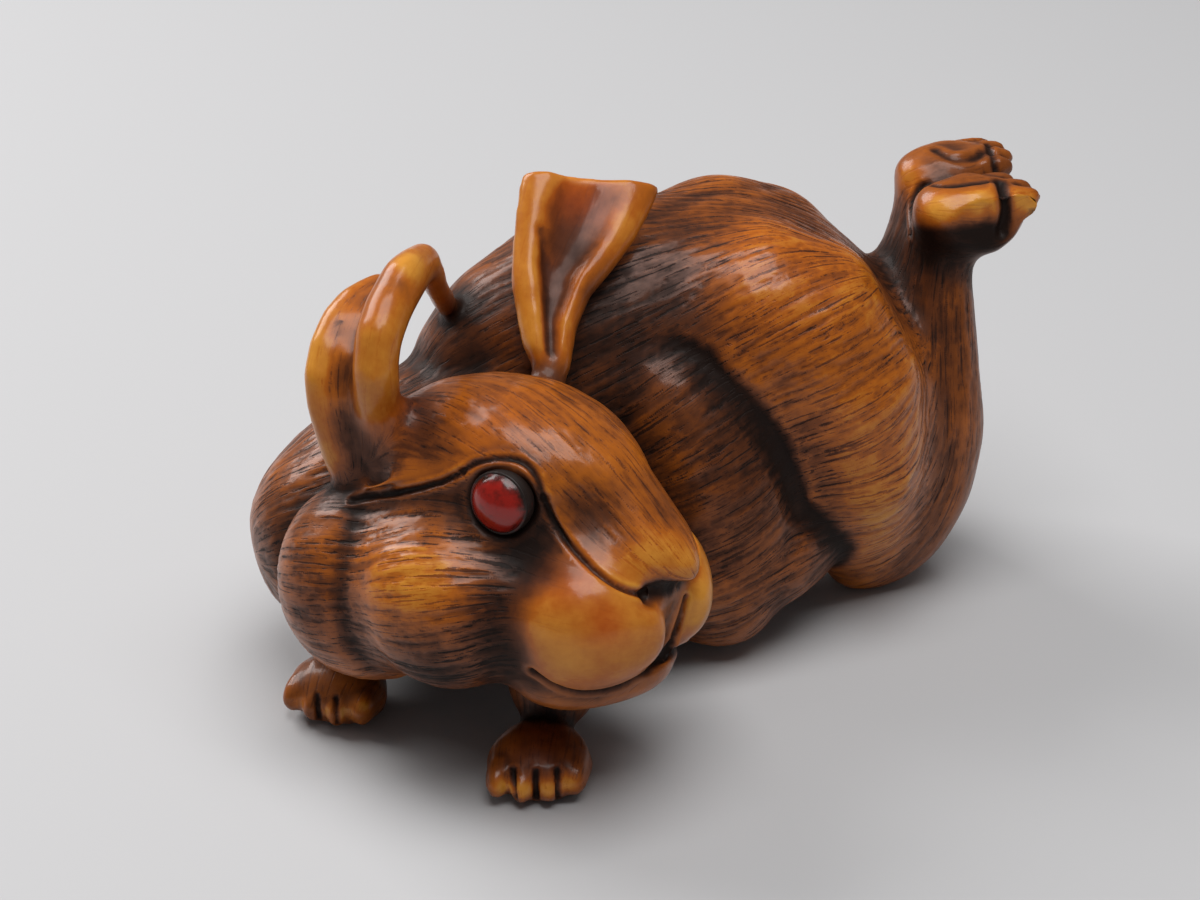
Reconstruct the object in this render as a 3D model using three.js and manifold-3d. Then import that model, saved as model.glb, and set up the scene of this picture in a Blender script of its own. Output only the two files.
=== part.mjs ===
// A carved netsuke: a hare lying on its forepaws and knees, its head turned back along its flank,
// one ear looped over to its back and its hind feet kicked up behind. The carving is one solid,
// and the two inlaid eyes are pieces of their own. Millimetres, +Z up, -Y is the side it is shown from.
import * as THREE from 'three';
import { mergeVertices } from 'three/addons/utils/BufferGeometryUtils.js';
import Module from 'manifold-3d';

const wasm = await Module();
wasm.setup();

// Driving dimensions: the inlaid eyes, the toes and the ground that the soles are cut flat on
const EYE_RADIUS = 1.9;
const EYE_GAP = 0.3;
const EYE_AT = [1.8, 5.3, 3.6];
const TOES = 4;
const ROOT_SPREAD = 0.9;
const OUTER_SETBACK = 0.15;
const FORE_TOE_SPREAD = 2.35;
const HIND_TOE_SPREAD = 1.9;
const KNUCKLE_RISE = 0.5;
const CLAW_DROP = 0.4;
const PAW_REACH = 0.9;
const FOOT_SIDE = 5;
const FAR_FOOT_SETBACK = 0.9;
const CORD_WAY_RADIUS = 3.3;
const GROUND = 80;

// Places of the groups: the head turned to look along the flank, the hindquarters behind it
const HEAD = { at: [-7, -11, 15], yaw: -30, pitch: 0, roll: -8 };
const RUMP = { at: [8, 10, 0], yaw: 18 };

// The plane of the hind soles, in the hindquarters' frame
const SOLE_AT = [12, -5, 27.35];
const SOLE_UP = [0, 0.08, 1];

const point = ([x, y, z]) => new THREE.Vector3(x, y, z);
const mirrored = (places) => places.map(([x, y, z]) => [x, -y, z]);

// A rounded form grown along a spine: girth gives its half width and half height at even steps,
// and a lower blunt makes its ends fuller.
function swell({ spine, girth, up = [0, 0, 1], turns = 16, rings = 12, blunt = 1 }) {
  const geometry = new THREE.SphereGeometry(1, turns, rings);
  const line = new THREE.CatmullRomCurve3(spine.map(point));
  const profile = new THREE.SplineCurve(girth.map(([wide, tall]) => new THREE.Vector2(wide, tall)));
  const place = geometry.getAttribute('position');
  const reference = point(up);
  const vertex = new THREE.Vector3();
  for (let i = 0; i < place.count; i++) {
    vertex.fromBufferAttribute(place, i);
    const along = (1 - vertex.y) / 2;
    const radius = Math.hypot(vertex.x, vertex.z);
    const full = radius > 0 ? Math.pow(radius, blunt) / radius : 0;
    const forward = line.getTangent(along);
    const side = new THREE.Vector3().crossVectors(reference, forward).normalize();
    const lift = new THREE.Vector3().crossVectors(forward, side);
    const size = profile.getPoint(along);
    const out = line.getPoint(along)
      .addScaledVector(side, vertex.x * full * size.x)
      .addScaledVector(lift, vertex.z * full * size.y);
    place.setXYZ(i, out.x, out.y, out.z);
  }
  return geometry;
}

// A closed geometry as a solid that can be joined and cut
function solid(geometry) {
  const bare = geometry.clone();
  bare.deleteAttribute('normal');
  bare.deleteAttribute('uv');
  const merged = mergeVertices(bare, 1e-4);
  const vertProperties = new Float32Array(merged.getAttribute('position').array);
  const triVerts = new Uint32Array(merged.index.array);
  const made = new wasm.Manifold(new wasm.Mesh({ numProp: 3, vertProperties, triVerts }));
  if (made.volume() > 0) return made;
  for (let i = 0; i < triVerts.length; i += 3) {
    [triVerts[i + 1], triVerts[i + 2]] = [triVerts[i + 2], triVerts[i + 1]];
  }
  return new wasm.Manifold(new wasm.Mesh({ numProp: 3, vertProperties, triVerts }));
}

const join = (solids) => solids.reduce((sum, next) => sum.add(next));

function geometryOf(body) {
  const { numVert, numProp, vertProperties, triVerts } = body.getMesh();
  const places = new Float32Array(numVert * 3);
  for (let i = 0; i < numVert; i++) {
    places.set(vertProperties.subarray(i * numProp, i * numProp + 3), i * 3);
  }
  const geometry = new THREE.BufferGeometry();
  geometry.setAttribute('position', new THREE.BufferAttribute(places, 3));
  geometry.setIndex(new THREE.BufferAttribute(new Uint32Array(triVerts), 1));
  geometry.computeVertexNormals();
  return geometry;
}

// The half space beyond a place, along a direction, to cut forms flat with
function beyond(at, along) {
  const half = new THREE.BoxGeometry(GROUND, GROUND, GROUND).translate(0, 0, GROUND / 2);
  const turn = new THREE.Quaternion().setFromUnitVectors(point([0, 0, 1]), point(along).normalize());
  return half.applyQuaternion(turn).translate(...at);
}

// The matrix of a group that is turned by yaw, pitch and roll and set at a place
function placed({ at, yaw = 0, pitch = 0, roll = 0 }) {
  const angles = [roll, pitch, yaw].map(THREE.MathUtils.degToRad);
  const turn = new THREE.Euler(...angles, 'ZYX');
  return new THREE.Matrix4().makeRotationFromEuler(turn).setPosition(point(at));
}

const set = (matrix, geometries) => geometries.map((geometry) => geometry.applyMatrix4(matrix));

// The forms of the head, in its own frame: +X to the nose, +Y to its left, +Z up
function headForms() {
  const crown = swell({
    spine: [[-10.5, 0, 1.8], [-5, 0, 3.9], [0.5, 0, 4.4], [5, 0, 3.4], [8.4, 0, 1.2], [11.6, 0, -0.4]],
    girth: [[5, 3.4], [6.4, 4.4], [6.2, 4.3], [4.7, 3.4], [3.3, 2.3], [2.8, 1.7]],
    turns: 16, rings: 14, blunt: 0.75,
  });
  const face = swell({
    spine: [[-10, 0, -1.5], [-3, 0, -0.6], [4, 0, -0.8], [10, 0, -2.6]],
    girth: [[5.4, 5.6], [7, 6.2], [5.9, 5.2], [2.6, 3]],
    turns: 12, rings: 8, blunt: 0.8,
  });
  const chin = swell({
    spine: [[-1, 0, -5.8], [5, 0, -7.1], [10.2, 0, -6.2]],
    girth: [[4.4, 2.2], [6.1, 2.3], [3.8, 1.8]],
    turns: 14, rings: 9, blunt: 0.7,
  });
  return [crown, face, chin, ...headSide((p) => p), ...headSide(mirrored)];
}

// The forms of one side of the head: the brow over the eye and down the nose, two cheek folds, the lip
function headSide(flip) {
  const brow = swell({
    spine: flip([
      [-9.2, -3.6, 1], [-6, -5.7, 2.7], [-2.4, -6, 4.5], [1, -5.8, 5.6],
      [3.4, -5.2, 5.5], [5, -4.5, 3.5], [7, -3.6, 1.3], [9.8, -2.7, -0.2],
    ]),
    girth: [[0.7, 0.7], [0.6, 0.7], [0.5, 0.7], [0.6, 0.7], [0.6, 0.7], [0.6, 0.6], [0.7, 0.7], [0.9, 0.8]],
    up: [0, 1, 0], turns: 6, rings: 16, blunt: 0.4,
  });
  const cheek = swell({
    spine: flip([[-7.8, -4.2, -3.3], [-1, -4.6, -3.1], [5, -4.2, -2.6]]),
    girth: [[4.9, 5.4], [5.1, 5.7], [3.6, 4.4]],
    turns: 14, rings: 10, blunt: 0.75,
  });
  const jowl = swell({
    spine: flip([[-13.4, -2.8, -4.3], [-8, -3.2, -4.5], [-2, -3, -5]]),
    girth: [[4.8, 5.8], [5.2, 6.2], [5, 6]],
    turns: 13, rings: 9, blunt: 0.75,
  });
  const lip = swell({
    spine: flip([[1.6, -4.1, -2.7], [6.4, -3.6, -2.9], [11.2, -1.6, -3]]),
    girth: [[3.3, 3.9], [3.9, 4.4], [2.4, 3.3]],
    turns: 14, rings: 11, blunt: 0.8,
  });
  return [brow, cheek, jowl, lip];
}

// The nostrils, cut as slits under the end of the nose
function nostrils() {
  return [(p) => p, mirrored].map((flip) => swell({
    spine: flip([[8.8, -3.4, -0.9], [10.6, -2.2, -1], [12.6, -0.6, -0.9]]),
    girth: [[0.7, 0.4], [0.9, 0.7], [0.5, 0.5]],
    turns: 7, rings: 6, blunt: 0.6,
  }));
}

// Toes side by side across a paw, each from its knuckle to its claw, the outer ones set back
function toes({ knuckle, claw, across, spread, girth }) {
  const row = [];
  for (let i = 0; i < TOES; i++) {
    const share = (2 * i) / (TOES - 1) - 1;
    const aside = point(across).multiplyScalar(share * spread);
    const root = point(knuckle).addScaledVector(aside, ROOT_SPREAD);
    const tip = point(claw).lerp(point(knuckle), OUTER_SETBACK * share * share).add(aside);
    const middle = root.clone().lerp(tip, 0.5);
    const spine = [root, middle, tip].map((place) => place.toArray());
    row.push(swell({ spine, girth, turns: 6, rings: 5, blunt: 0.5 }));
  }
  return row;
}

// One hind leg in the hindquarters' frame: +X to the rear, -Y on the shown side
function hindLeg(flip) {
  const thigh = swell({
    spine: flip([
      [-9.4, -1.8, 20.2], [-4.8, -2.8, 20.3], [0.6, -4.2, 17.6],
      [3.2, -5.8, 11], [4.8, -4.8, 5.2], [5.4, -3, -0.8],
    ]),
    girth: [[5.2, 5.2], [7.4, 6.6], [7.4, 6.6], [5.5, 5.6], [4.4, 4.2], [3.2, 3.2]],
    up: [0, 1, 0], turns: 16, rings: 12, blunt: 0.75,
  });
  const shin = swell({
    spine: flip([
      [5.2, -3, 0], [8, -4.2, 4.6], [9.6, -4, 10],
      [10.1, -3, 15.5], [10.7, -2, 21], [11.2, -2.2, 25.4],
    ]),
    girth: [[3.4, 3.4], [3.8, 3.8], [3.7, 3.6], [3, 2.9], [2.5, 2.4], [2.6, 2.4]],
    up: [0, 1, 0], turns: 12, rings: 11, blunt: 0.6,
  });
  return [thigh, shin];
}

// The two hocks, grown together between the shins
function hocks() {
  return swell({
    spine: [[9.2, 0, 7], [10, 0, 13.5], [10.4, 0, 19.5], [10.8, 0, 24.6]],
    girth: [[3, 2.8], [2.7, 2.4], [2.5, 1.9], [2.5, 1.8]],
    up: [0, 1, 0], turns: 10, rings: 8, blunt: 0.6,
  });
}

// A hind foot with its toes, moved back by some length, before its sole is cut
function hindFoot(flip, rearward) {
  const moved = (places) => flip(places.map(([x, y, z]) => [x + rearward, y, z]));
  const foot = swell({
    spine: moved([[8.6, -2.4, 25.1], [12.6, -2.7, 24.5], [15.6, -2.9, 25.4]]),
    girth: [[2.5, 2.3], [2.9, 2.7], [2.5, 1.9]],
    turns: 12, rings: 9, blunt: 0.65,
  });
  const hindToes = toes({
    knuckle: moved([[12.4, -2.9, 25.4]])[0], claw: moved([[16.7, -3.1, 25.7]])[0],
    across: [0, 1, 0], spread: HIND_TOE_SPREAD, girth: [[0.7, 0.9], [0.75, 1.1], [0.6, 0.8]],
  });
  return [foot, ...hindToes];
}

// The two hind feet, cut level over their turned-up soles and flat on their outer sides
function hindFeet() {
  const forms = [...hindFoot((p) => p, 0), ...hindFoot(mirrored, FAR_FOOT_SETBACK)];
  const flats = [
    beyond(SOLE_AT, SOLE_UP), beyond([0, -FOOT_SIDE, 0], [0, -1, 0]), beyond([0, FOOT_SIDE, 0], [0, 1, 0]),
  ];
  const feet = join(set(rumpPlace, forms).map(solid));
  return set(rumpPlace, flats).map(solid).reduce((body, tool) => body.subtract(tool), feet);
}

// A foreleg with its paw, from the elbow down to the toes
function foreleg({ elbow, wrist, heel, tip, across }) {
  const leg = swell({
    spine: [elbow, wrist, heel],
    girth: [[4, 4], [2.8, 2.8], [2.4, 2]],
    up: [0, 1, 0], turns: 10, rings: 8, blunt: 0.7,
  });
  const middle = point(heel).lerp(point(tip), 0.5);
  const ball = point(heel).lerp(point(tip), PAW_REACH);
  const paw = swell({
    spine: [heel, middle.toArray(), ball.toArray()],
    girth: [[2.3, 1.9], [3.2, 2.2], [3, 1.6]],
    turns: 12, rings: 8, blunt: 0.6,
  });
  const [x, y, z] = tip;
  const row = toes({
    knuckle: [middle.x, middle.y, middle.z + KNUCKLE_RISE], claw: [x, y, z - CLAW_DROP],
    across, spread: FORE_TOE_SPREAD, girth: [[0.8, 1], [0.85, 1.2], [0.6, 0.9]],
  });
  return [leg, paw, ...row];
}

function bodyForms() {
  const back = swell({
    spine: [[-13, 1, 13], [-5, 6, 14], [4, 9, 14.2], [11, 11.5, 13.8], [17, 13.2, 13]],
    girth: [[9.6, 12.8], [9.6, 13.1], [9.4, 12.4], [8.6, 11.2], [7, 8.6]],
    turns: 16, rings: 12, blunt: 0.71,
  });
  const shoulder = swell({
    spine: [[-23.2, -4, 9], [-15, -1, 9.8], [-6, 3.6, 10.6], [4, 7, 12]],
    girth: [[8, 7.5], [9, 8.6], [10, 9.4], [9, 9]],
    turns: 14, rings: 11, blunt: 0.75,
  });
  const flank = swell({
    spine: [[-3.4, 5.4, 21], [1.6, 2.6, 16], [4.6, 1.4, 9.4], [4.8, -0.2, 0.6]],
    girth: [[5.4, 5], [5.8, 5.6], [5.8, 5.8], [5.6, 5.6]],
    up: [0, 1, 0], turns: 16, rings: 11, blunt: 0.65,
  });
  const belly = swell({
    spine: [[-8, -1, 7.2], [0, 0.6, 6.8], [7, 3.2, 6.6], [13.2, 7.2, 6.6]],
    girth: [[6, 5.2], [6.6, 5.5], [6.2, 5.2], [5.6, 5]],
    turns: 12, rings: 8, blunt: 0.75,
  });
  const tail = swell({
    spine: [[15.6, 12.6, 9], [19.4, 13.8, 11], [21, 14.3, 14.6]],
    girth: [[2.2, 2.2], [2.4, 2.2], [1.6, 1.6]],
    turns: 8, rings: 7, blunt: 0.7,
  });
  const nearLeg = foreleg({
    elbow: [-5, -6, 9], wrist: [-5.2, -11, 4], heel: [-5.6, -12, 1.8], tip: [-6.2, -18.6, 1.3],
    across: [1, 0.06, 0],
  });
  const farLeg = foreleg({
    elbow: [-14, -2, 8], wrist: [-17, -5, 4], heel: [-17, -4.4, 1.8], tip: [-19.2, -10, 1.3],
    across: [0.93, -0.36, 0],
  });
  return [back, shoulder, flank, belly, tail, ...nearLeg, ...farLeg];
}

// The right ear: a rolled front rim and a thinner rear rim with the hollow between them, arching back
// to the shoulder blades and closing a loop there
function loopEar() {
  const frontRim = swell({
    spine: [
      [-11.8, -8.4, 13.2], [-14.2, -9.6, 19.7], [-15, -10.8, 23.3], [-15, -11, 26.1], [-14.4, -9, 27.7],
      [-13.5, -6.4, 28.4], [-12.6, -3.6, 28.2], [-12, -0.6, 25.1], [-11.4, 4, 21.3],
    ],
    girth: [
      [3, 3.4], [1.9, 2.1], [1.6, 1.5], [1.6, 1.4], [1.6, 1.4],
      [1.5, 1.3], [1.3, 1.1], [0.9, 0.8], [1.2, 1.1],
    ],
    up: [1, 0, 0], turns: 10, rings: 18, blunt: 0.4,
  });
  const rearRim = swell({
    spine: [
      [-15.5, -7.4, 13], [-17.7, -9.4, 19.6], [-18.4, -9.4, 23.8], [-17.3, -6.6, 26.4], [-14.8, -3.4, 27.1],
    ],
    girth: [[2, 1.8], [1.1, 1], [1, 0.9], [1, 0.9], [0.9, 0.9]],
    up: [1, 0, 0], turns: 9, rings: 14, blunt: 0.4,
  });
  const hollow = swell({
    spine: [
      [-14.2, -8, 13.4], [-16.1, -9.6, 20], [-16.7, -9.6, 23.8], [-15.8, -6.9, 26.6], [-14, -3.7, 27.2],
    ],
    girth: [[1.6, 2], [0.9, 2], [0.8, 1.9], [0.8, 1.6], [0.8, 1]],
    up: [1, 0, 0], turns: 8, rings: 11, blunt: 0.5,
  });
  return [frontRim, rearRim, hollow];
}

// The left ear: a leaf that widens to a blunt end, lying on the back, its hollow cut in the upper face
const LEAF_FACE = [0.25, -0.65, 0.71];
const LEAF_UP = [0, 0.74, 0.67];
const LEAF_END = [-3, 4.3, 30.1];
const HOLLOW_RISE = [1.5, 1.5, 1.5, 1.55, 1.7, 1.8];
const LEAF_SPINE = [
  [-5.2, -5.6, 18.5], [-5.5, -2.6, 22.4], [-5.2, 0.2, 25.4],
  [-3.9, 2.6, 27.9], [-2.7, 5.2, 30.4], [-2, 6.8, 32],
];

function leafEar() {
  const leaf = swell({
    spine: LEAF_SPINE,
    girth: [[1.5, 1.4], [1.7, 1.4], [2.7, 1.4], [3.8, 1.3], [4.6, 1.2], [5, 1.2]],
    up: LEAF_FACE, turns: 12, rings: 12, blunt: 0.35,
  });
  return solid(leaf).subtract(solid(beyond(LEAF_END, LEAF_UP)));
}

function leafHollow() {
  const raised = LEAF_SPINE.map((place, step) => place.map((v, i) => v + LEAF_FACE[i] * HOLLOW_RISE[step]));
  return swell({
    spine: raised,
    girth: [[0.4, 0.6], [0.6, 1], [1.5, 1.4], [2.7, 1.4], [3.5, 1.3], [3.9, 1.2]],
    up: LEAF_FACE, turns: 9, rings: 9, blunt: 0.4,
  });
}

// The way for a cord, opened under the looped ear between the back of the head and the shoulder blades
function cordWay() {
  const across = [CORD_WAY_RADIUS, CORD_WAY_RADIUS];
  return swell({
    spine: [[-24, -2, 21.2], [-16, -2, 21.2], [-11, -2.1, 21.2], [-7.8, -2.3, 22.4]],
    girth: [across, across, across, [2.6, 2.6]],
    turns: 10, rings: 8, blunt: 0.3,
  });
}

const headPlace = placed(HEAD);
const rumpPlace = placed(RUMP);

const swells = [
  ...bodyForms(),
  ...loopEar(),
  ...set(headPlace, headForms()),
  ...set(rumpPlace, [...hindLeg((p) => p), ...hindLeg(mirrored), hocks()]),
];
const forms = join([...swells.map(solid), leafEar(), hindFeet()]);

const ground = beyond([0, 0, 0], [0, 0, -1]);
const sockets = [-1, 1].map((side) => new THREE.SphereGeometry(EYE_RADIUS + EYE_GAP, 12, 7)
  .translate(EYE_AT[0], side * EYE_AT[1], EYE_AT[2]));
const cuts = [ground, leafHollow(), cordWay(), ...set(headPlace, [...sockets, ...nostrils()])];
const carved = cuts.map(solid).reduce((body, tool) => body.subtract(tool), forms);

const antler = new THREE.MeshStandardMaterial({
  name: 'stained antler', color: 0x9a5a1c, roughness: 0.4, metalness: 0,
});
const amber = new THREE.MeshStandardMaterial({
  name: 'red amber', color: 0x5a0d08, roughness: 0.08, metalness: 0,
});

// The origin is at the middle of the ground under the carving
const netsuke = new THREE.Group();
const hare = new THREE.Mesh(geometryOf(carved), antler);
const extent = new THREE.Box3().setFromObject(hare);
const middle = extent.getCenter(new THREE.Vector3());
netsuke.position.set(-middle.x, -middle.y, -extent.min.z);
hare.name = 'hare_carving';
netsuke.add(hare);
for (const [name, side] of [['eye_right', -1], ['eye_left', 1]]) {
  const eye = new THREE.Mesh(new THREE.SphereGeometry(EYE_RADIUS, 12, 7), amber);
  eye.name = name;
  eye.position.set(EYE_AT[0], side * EYE_AT[1], EYE_AT[2]).applyMatrix4(headPlace);
  netsuke.add(eye);
}

export default netsuke;
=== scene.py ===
"""A carved hare netsuke: one block of stained antler cut as a lying hare, with inlaid red eyes."""
import math
from collections import namedtuple

import bpy
import numpy as np
from bpy.props import FloatProperty, FloatVectorProperty, IntProperty, PointerProperty
from mathutils import Matrix, Vector
from mathutils.bvhtree import BVHTree
from mathutils.kdtree import KDTree


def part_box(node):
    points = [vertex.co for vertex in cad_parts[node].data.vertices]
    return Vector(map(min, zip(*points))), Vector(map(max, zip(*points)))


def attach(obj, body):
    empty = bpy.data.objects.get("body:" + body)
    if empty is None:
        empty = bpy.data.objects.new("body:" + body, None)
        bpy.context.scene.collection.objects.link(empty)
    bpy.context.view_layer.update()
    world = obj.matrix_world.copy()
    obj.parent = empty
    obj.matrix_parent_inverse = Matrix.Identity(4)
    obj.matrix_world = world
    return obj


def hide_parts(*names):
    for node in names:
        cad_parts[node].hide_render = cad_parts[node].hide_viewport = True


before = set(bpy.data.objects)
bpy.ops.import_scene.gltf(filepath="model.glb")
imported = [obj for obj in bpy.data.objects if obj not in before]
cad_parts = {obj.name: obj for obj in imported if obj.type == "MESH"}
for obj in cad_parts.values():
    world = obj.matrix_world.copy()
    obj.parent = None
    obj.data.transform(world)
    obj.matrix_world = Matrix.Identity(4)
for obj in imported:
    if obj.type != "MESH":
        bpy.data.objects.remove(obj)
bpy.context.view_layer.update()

bl_info = {
    "name": "Carved Hare Netsuke",
    "version": (1, 0, 0),
    "blender": (4, 5, 0),
    "location": "3D View > Sidebar > Netsuke",
    "description": "Carves, stains and stages a hare netsuke around its solid model",
    "category": "Object",
}

MM = 0.001

# The head's own frame in the carver's frame: +X to the nose, +Y to the left, +Z up, in millimetres
HEAD_AT = Vector((-7.0, -11.0, 15.0))
HEAD_YAW = math.radians(-30.0)
HEAD_ROLL = math.radians(-8.0)
EYES_MIDDLE = Vector((1.8, 0.0, 3.6))
EYE_RADIUS = 1.9
BEAD_SHARE = 0.98

# The hindquarters' frame: +X to the rear
RUMP_AT = Vector((8.0, 10.0, 0.0))
RUMP_YAW = math.radians(18.0)

# The photograph's frame, from which lines and spots are thrown on to the carving
PHOTO_WIDTH = 1200
PHOTO_HEIGHT = 900
VIEW_TARGET = Vector((-2.4, 0.0, 14.0))
SENSOR_WIDTH = 36.0


def turned(at, yaw, roll=0.0):
    """The matrix of a group that is rolled, then yawed, then set at a place."""
    return Matrix.Translation(at) @ Matrix.Rotation(yaw, 4, "Z") @ Matrix.Rotation(roll, 4, "X")


def node_middle(name):
    """The middle of a solid's box, in metres."""
    low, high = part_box(name)
    return (low + high) / 2


PLACES = {
    "body": Matrix.Identity(4),
    "head": turned(HEAD_AT, HEAD_YAW, HEAD_ROLL),
    "rump": turned(RUMP_AT, RUMP_YAW),
}

# Where the carver's frame sits in the model: the two eyes give it
EYES_IN_MODEL = (node_middle("eye_right") + node_middle("eye_left")) / (2 * MM)
CARVER_AT = EYES_IN_MODEL - PLACES["head"] @ EYES_MIDDLE


# The swelling forms that the hare is carved from, with the lie of the hair and the depth of stain on each
Form = namedtuple("Form", "name place paired spine girth up blunt hair tone strokes soft")


def form(name, place, spine, girth, up=(0, 0, 1), blunt=1.0, paired=False, hair=None,
         tone=0.5, strokes=0.6, soft=1.0):
    """One form, with hair along its spine unless a direction is given."""
    return Form(name, place, paired, spine, girth, up, blunt, hair, tone, strokes, soft)


HEAD_FORMS = [
    form("crown", "head",
         [(-10.5, 0, 1.8), (-5, 0, 3.9), (0.5, 0, 4.4), (5, 0, 3.4), (8.4, 0, 1.2), (11.6, 0, -0.4)],
         [(5, 3.4), (6.4, 4.4), (6.2, 4.3), (4.7, 3.4), (3.3, 2.3), (2.8, 1.7)],
         blunt=0.75, tone=0.5, strokes=0.6),
    form("face", "head",
         [(-10, 0, -1.5), (-3, 0, -0.6), (4, 0, -0.8), (10, 0, -2.6)],
         [(5.4, 5.6), (7, 6.2), (5.9, 5.2), (2.6, 3)],
         blunt=0.8, tone=0.46, strokes=0.3),
    form("chin", "head",
         [(-1, 0, -5.8), (5, 0, -7.1), (10.2, 0, -6.2)],
         [(4.4, 2.2), (6.1, 2.3), (3.8, 1.8)],
         blunt=0.7, tone=0.5, strokes=0.2),
    form("brow", "head",
         [(-9.2, -3.6, 1), (-6, -5.7, 2.7), (-2.4, -6, 4.5), (1, -5.8, 5.6),
          (3.4, -5.2, 5.5), (5, -4.5, 3.5), (7, -3.6, 1.3), (9.8, -2.7, -0.2)],
         [(0.7, 0.7)] * 8, up=(0, 1, 0), blunt=0.4, paired=True, tone=0.58, strokes=0.1, soft=0.9),
    form("cheek", "head",
         [(-7.8, -4.2, -3.3), (-1, -4.6, -3.1), (5, -4.2, -2.6)],
         [(4.9, 5.4), (5.1, 5.7), (3.6, 4.4)],
         blunt=0.75, paired=True, hair=(0.96, -0.2, 0.12), tone=0.56, strokes=1.0),
    form("jowl", "head",
         [(-13.4, -2.8, -4.3), (-8, -3.2, -4.5), (-2, -3, -5)],
         [(4.8, 5.8), (5.2, 6.2), (5, 6)],
         blunt=0.75, paired=True, hair=(0.9, -0.4, 0.1), tone=0.42, strokes=0.9),
    form("lip", "head",
         [(1.6, -4.1, -2.7), (6.4, -3.6, -2.9), (11.2, -1.6, -3)],
         [(3.3, 3.9), (3.9, 4.4), (2.4, 3.3)],
         blunt=0.8, paired=True, tone=0.6, strokes=0.06),
]

FOOT_SPINE = [(8.6, 2.4, 25.1), (12.6, 2.7, 24.5), (15.6, 2.9, 25.4), (17.2, 3, 25.6)]
FOOT_GIRTH = [(2.5, 2.3), (2.9, 2.7), (2.5, 1.9), (2.4, 1.4)]
FAR_FOOT_SETBACK = 0.9
LEG_GIRTH = [(4, 4), (2.8, 2.8), (2.4, 2)]
PAW_GIRTH = [(2.3, 1.9), (3.2, 2.2), (3, 1.3)]


def hind_foot(name, side, setback):
    """A hind foot on one side of the hindquarters, moved back by some length."""
    spine = [(x + setback, side * y, z) for x, y, z in FOOT_SPINE]
    return form(name, "rump", spine, FOOT_GIRTH, blunt=0.4, tone=0.4, strokes=0.2, soft=0.04)


def foreleg(which, leg, paw, paw_tone):
    """A foreleg down to its wrist, and the paw from there to the toes."""
    return [
        form(which + "_leg", "body", leg, LEG_GIRTH,
             up=(0, 1, 0), blunt=0.7, tone=0.28, strokes=0.5, soft=0.5),
        form(which + "_paw", "body", leg[-1:] + paw, PAW_GIRTH,
             blunt=0.4, tone=paw_tone, strokes=0.3, soft=0.08),
    ]


LIMB_FORMS = [
    form("thigh", "rump",
         [(-9.4, -1.8, 20.2), (-4.8, -2.8, 20.3), (0.6, -4.2, 17.6),
          (3.2, -5.8, 11), (4.8, -4.8, 5.2), (5.4, -3, -0.8)],
         [(5.2, 5.2), (7.4, 6.6), (7.4, 6.6), (5.5, 5.6), (4.4, 4.2), (3.2, 3.2)],
         up=(0, 1, 0), blunt=0.75, paired=True, hair=(0.85, -0.2, 0.48), tone=0.53, strokes=0.9),
    form("shin", "rump",
         [(5.2, -3, 0), (8, -4.2, 4.6), (9.6, -4, 10), (10.1, -3, 15.5), (10.7, -2, 21), (11.2, -2.2, 25.4)],
         [(3.4, 3.4), (3.8, 3.8), (3.7, 3.6), (3, 2.9), (2.5, 2.4), (2.6, 2.4)],
         up=(0, 1, 0), blunt=0.6, paired=True, tone=0.4, strokes=0.6),
    form("hocks", "rump",
         [(9.2, 0, 7), (10, 0, 13.5), (10.4, 0, 19.5), (10.8, 0, 24.6)],
         [(3, 2.8), (2.7, 2.4), (2.5, 1.9), (2.5, 1.8)],
         up=(0, 1, 0), blunt=0.6, tone=0.3, strokes=0.6),
    hind_foot("near_foot", -1, 0.0),
    hind_foot("far_foot", 1, FAR_FOOT_SETBACK),
    *foreleg("near", [(-5, -6, 9), (-5.2, -11, 4), (-5.6, -12, 1.8)],
             [(-5.9, -15.4, 1.6), (-6.2, -18.9, 1.1)], paw_tone=0.3),
    *foreleg("far", [(-14, -2, 8), (-17, -5, 4), (-17, -4.4, 1.8)],
             [(-18.1, -7.2, 1.6), (-19.3, -10.3, 1.1)], paw_tone=0.36),
]

BODY_FORMS = [
    form("back", "body",
         [(-13, 1, 13), (-5, 6, 14), (4, 9, 14.2), (11, 11.5, 13.8), (17, 13.2, 13)],
         [(9.6, 12.8), (9.6, 13.1), (9.4, 12.4), (8.6, 11.2), (7, 8.6)],
         blunt=0.71, hair=(0.85, 0.1, 0.4), tone=0.4, strokes=0.7),
    form("shoulder", "body",
         [(-23.2, -4, 9), (-15, -1, 9.8), (-6, 3.6, 10.6), (4, 7, 12)],
         [(8, 7.5), (9, 8.6), (10, 9.4), (9, 9)],
         blunt=0.75, tone=0.4, strokes=0.85),
    form("flank", "body",
         [(-3.4, 5.4, 21), (1.6, 2.6, 16), (4.6, 1.4, 9.4), (4.8, -0.2, 0.6)],
         [(5.4, 5), (5.8, 5.6), (5.8, 5.8), (5.6, 5.6)],
         up=(0, 1, 0), blunt=0.65, hair=(0.93, -0.1, 0.34), tone=0.33, strokes=0.8),
    form("belly", "body",
         [(-8, -1, 7.2), (0, 0.6, 6.8), (7, 3.2, 6.6), (13.2, 7.2, 6.6)],
         [(6, 5.2), (6.6, 5.5), (6.2, 5.2), (5.6, 5)],
         blunt=0.75, hair=(0.9, 0.3, 0.2), tone=0.38, strokes=0.8),
    form("tail", "body",
         [(15.6, 12.6, 9), (19.4, 13.8, 11), (21, 14.3, 14.6)],
         [(2.2, 2.2), (2.4, 2.2), (1.6, 1.6)], blunt=0.7, tone=0.45, strokes=0.7, soft=0.6),
]

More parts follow.
